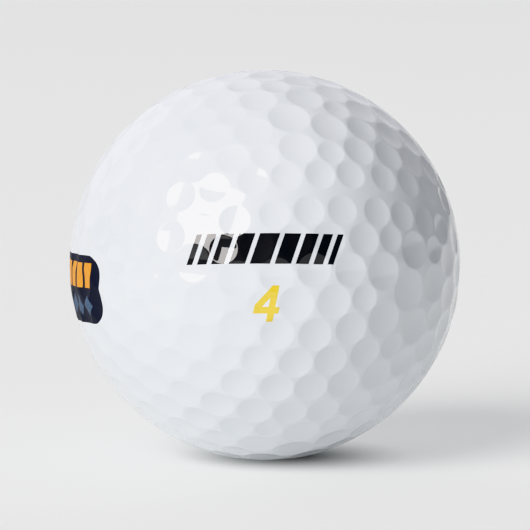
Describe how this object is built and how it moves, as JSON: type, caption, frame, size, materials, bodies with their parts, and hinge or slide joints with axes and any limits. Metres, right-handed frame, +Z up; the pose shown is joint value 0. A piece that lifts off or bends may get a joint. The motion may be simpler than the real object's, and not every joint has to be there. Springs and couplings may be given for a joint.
{
  "type": "golf ball",
  "caption": "Two-piece golf ball: solid rubber core in a white dimpled cover, with a slanted-bar alignment mark, a play number and a plain geometric side emblem.",
  "frame": {"origin": "centre of the ball", "axes": "+Z up as the ball rests, -Y towards the front print, +X to the right of the front print"},
  "size_m": [0.0427, 0.0427, 0.0426],
  "materials": {
    "core_rubber": "matte moulded polybutadiene rubber",
    "white_cover": "white ionomer, painted and clear coated, high gloss",
    "black_ink": "pad-printed ink under gloss clear coat",
    "yellow_ink": "pad-printed ink under gloss clear coat",
    "navy_ink": "pad-printed ink under gloss clear coat",
    "amber_ink": "pad-printed ink under gloss clear coat",
    "slate_ink": "pad-printed ink under gloss clear coat"
  },
  "bodies": {
    "root": {"rubber_core": "core_rubber", "cover_half_upper": "white_cover", "cover_half_lower": "white_cover", "alignment_mark_front": "black_ink", "alignment_mark_back": "black_ink", "play_number_front": "yellow_ink", "play_number_back": "yellow_ink", "emblem_ground": "navy_ink", "emblem_panels": "amber_ink", "emblem_diamonds": "slate_ink"}
  },
  "joints": []
}
